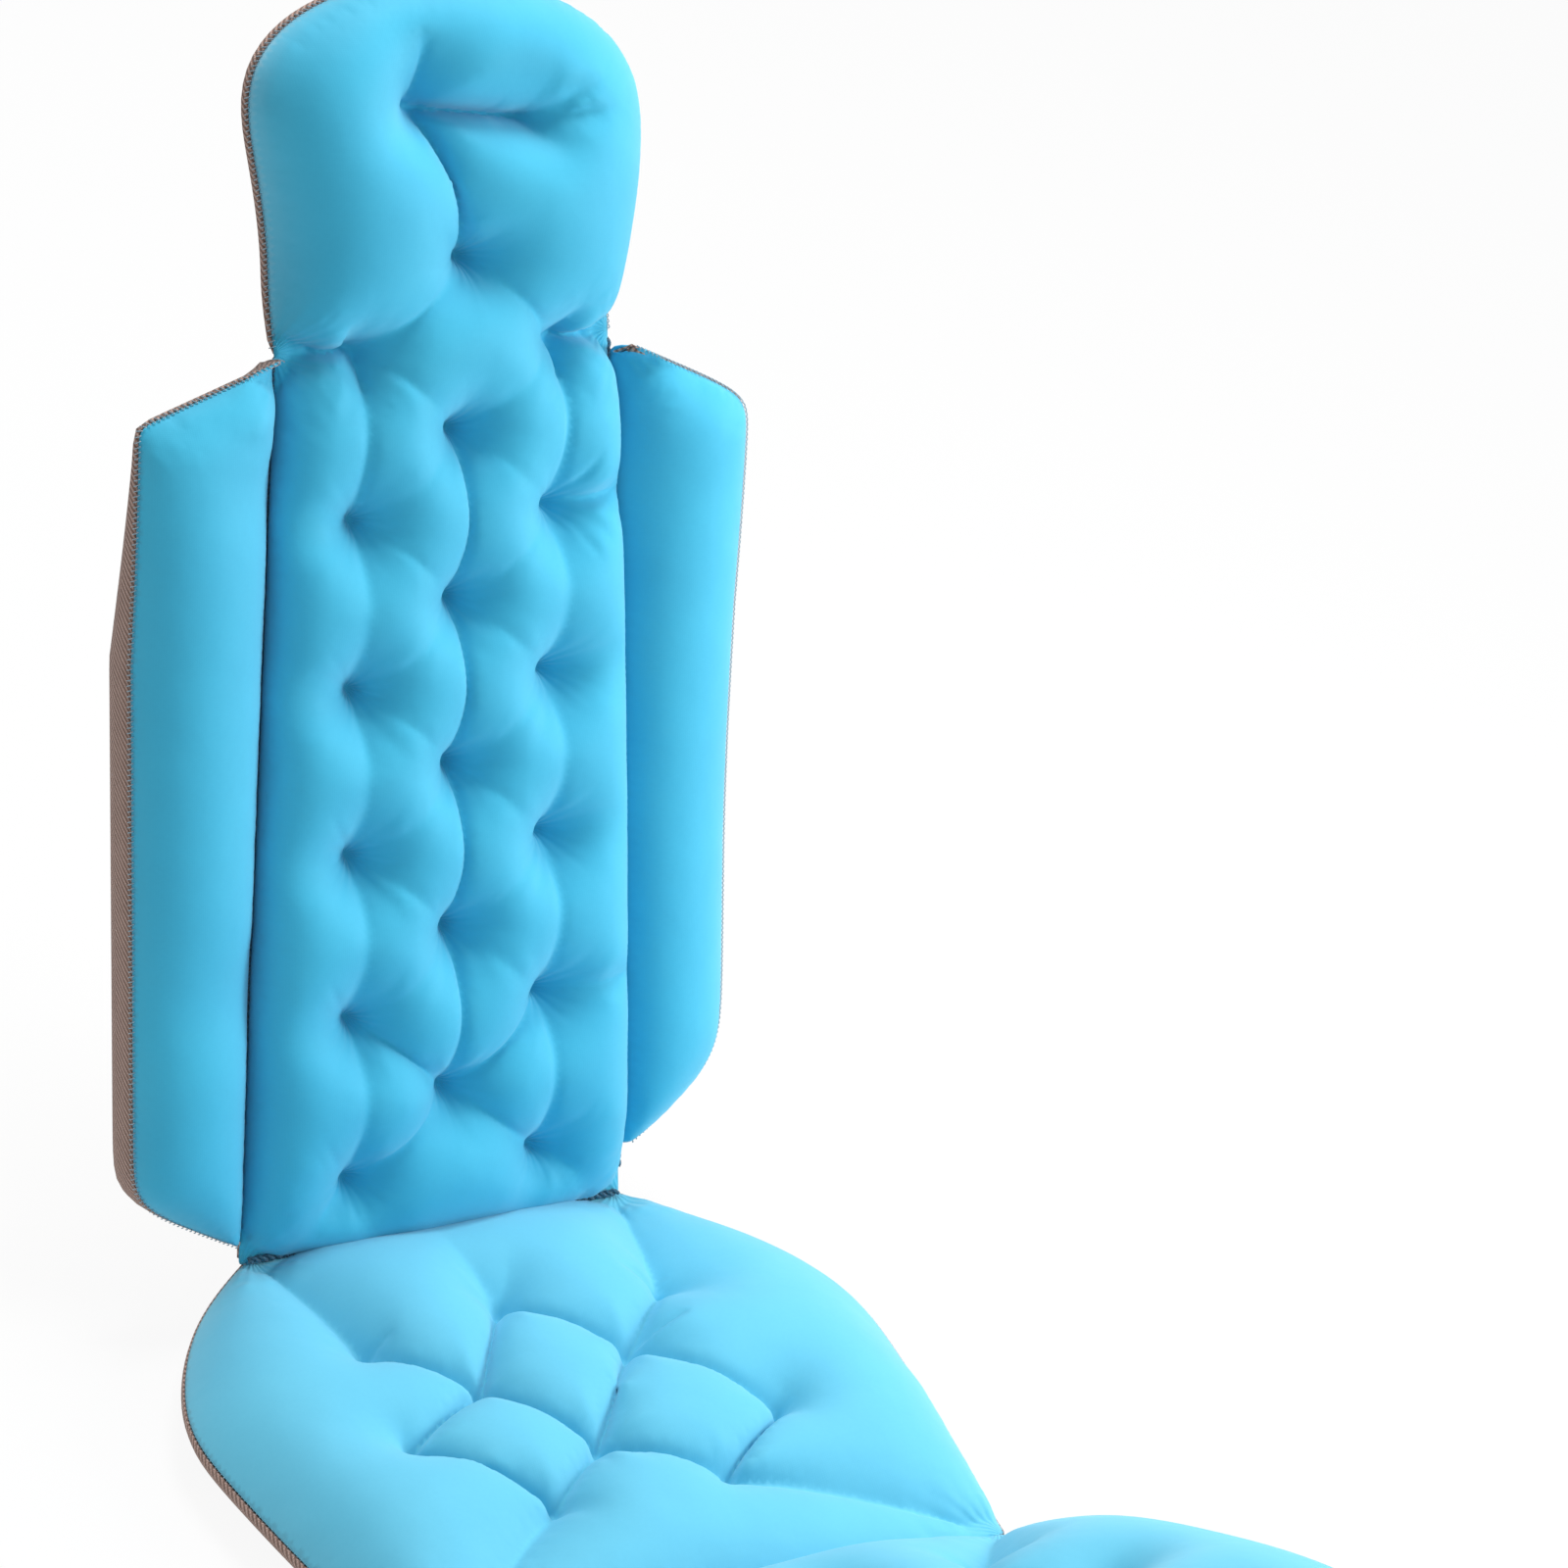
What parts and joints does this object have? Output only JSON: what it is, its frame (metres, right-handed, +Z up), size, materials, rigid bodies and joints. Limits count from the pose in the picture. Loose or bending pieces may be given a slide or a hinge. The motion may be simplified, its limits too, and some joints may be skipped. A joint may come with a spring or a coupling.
{
  "type": "full-body bath pillow",
  "caption": "Long padded bath cushion of tufted knit panels on a spacer-mesh back, folding at waist, knee, neck and wings, held to a bath by suction cups.",
  "frame": {"origin": "below the middle of the whole pillow at rest, at the level of the seat's suction cup lips", "axes": "+Z up, +Y from the leg end towards the head end, +X to the right as seen from the front (looking along +Y)"},
  "size_m": [0.4078, 0.8822, 0.6595],
  "materials": {
    "knit_cover": "smooth stretch knit with a soft sheen",
    "spacer_mesh": "ribbed open air mesh, matt",
    "fibre_fill": "loose polyester fibre",
    "cordage": "twisted thread",
    "clear_vinyl": "soft clear vinyl, glossy",
    "socket_plastic": "moulded, satin"
  },
  "bodies": {
    "seat": {"seat_cover": "knit_cover", "seat_fill": "fibre_fill", "seat_mesh_back": "spacer_mesh", "seat_tuft_twine": "cordage", "waist_fold_cord": "cordage", "knee_fold_cord": "cordage", "seat_rear_left_cup": "clear_vinyl", "seat_rear_left_cup_socket": "socket_plastic", "seat_front_left_cup": "clear_vinyl", "seat_front_left_cup_socket": "socket_plastic", "seat_rear_right_cup": "clear_vinyl", "seat_rear_right_cup_socket": "socket_plastic", "seat_front_right_cup": "clear_vinyl", "seat_front_right_cup_socket": "socket_plastic"},
    "back": {"neck_fold_cord": "cordage", "back_cover": "knit_cover", "back_fill": "fibre_fill", "back_mesh_back": "spacer_mesh", "back_tuft_twine": "cordage", "left_wing_fold_cord": "cordage", "back_left_cup": "clear_vinyl", "back_left_cup_socket": "socket_plastic", "right_wing_fold_cord": "cordage", "back_right_cup": "clear_vinyl", "back_right_cup_socket": "socket_plastic"},
    "head": {"head_cover": "knit_cover", "head_fill": "fibre_fill", "head_mesh_back": "spacer_mesh", "head_tuft_twine": "cordage", "head_left_cup": "clear_vinyl", "head_left_cup_socket": "socket_plastic", "head_right_cup": "clear_vinyl", "head_right_cup_socket": "socket_plastic"},
    "left_wing": {"left_wing_cover": "knit_cover", "left_wing_fill": "fibre_fill", "left_wing_mesh_back": "spacer_mesh"},
    "right_wing": {"right_wing_cover": "knit_cover", "right_wing_fill": "fibre_fill", "right_wing_mesh_back": "spacer_mesh"},
    "leg": {"leg_cover": "knit_cover", "leg_fill": "fibre_fill", "leg_mesh_back": "spacer_mesh", "leg_tuft_twine": "cordage", "leg_left_cup": "clear_vinyl", "leg_left_cup_socket": "socket_plastic", "leg_right_cup": "clear_vinyl", "leg_right_cup_socket": "socket_plastic"}
  },
  "joints": [
    {"name": "waist_fold", "type": "hinge", "parent": "seat", "child": "back", "pos_m": [0, 0.2096, 0.0322], "axis": [1, 0, 0], "range_deg": [-90, 20]},
    {"name": "neck_fold", "type": "hinge", "parent": "back", "child": "head", "pos_m": [0, 0.3662, 0.48699], "axis": [1, 0, 0], "range_deg": [-45, 25]},
    {"name": "left_wing_fold", "type": "hinge", "parent": "back", "child": "left_wing", "pos_m": [-0.10726, 0.28984, 0.26522], "axis": [0.0395, 0.3253, 0.9448], "range_deg": [-15, 45]},
    {"name": "right_wing_fold", "type": "hinge", "parent": "back", "child": "right_wing", "pos_m": [0.10726, 0.28984, 0.26522], "axis": [0.0395, -0.3253, -0.9448], "range_deg": [-15, 45]},
    {"name": "knee_fold", "type": "hinge", "parent": "seat", "child": "leg", "pos_m": [0, -0.1034, 0.0322], "axis": [-1, 0, 0], "range_deg": [-45, 60]}
  ]
}
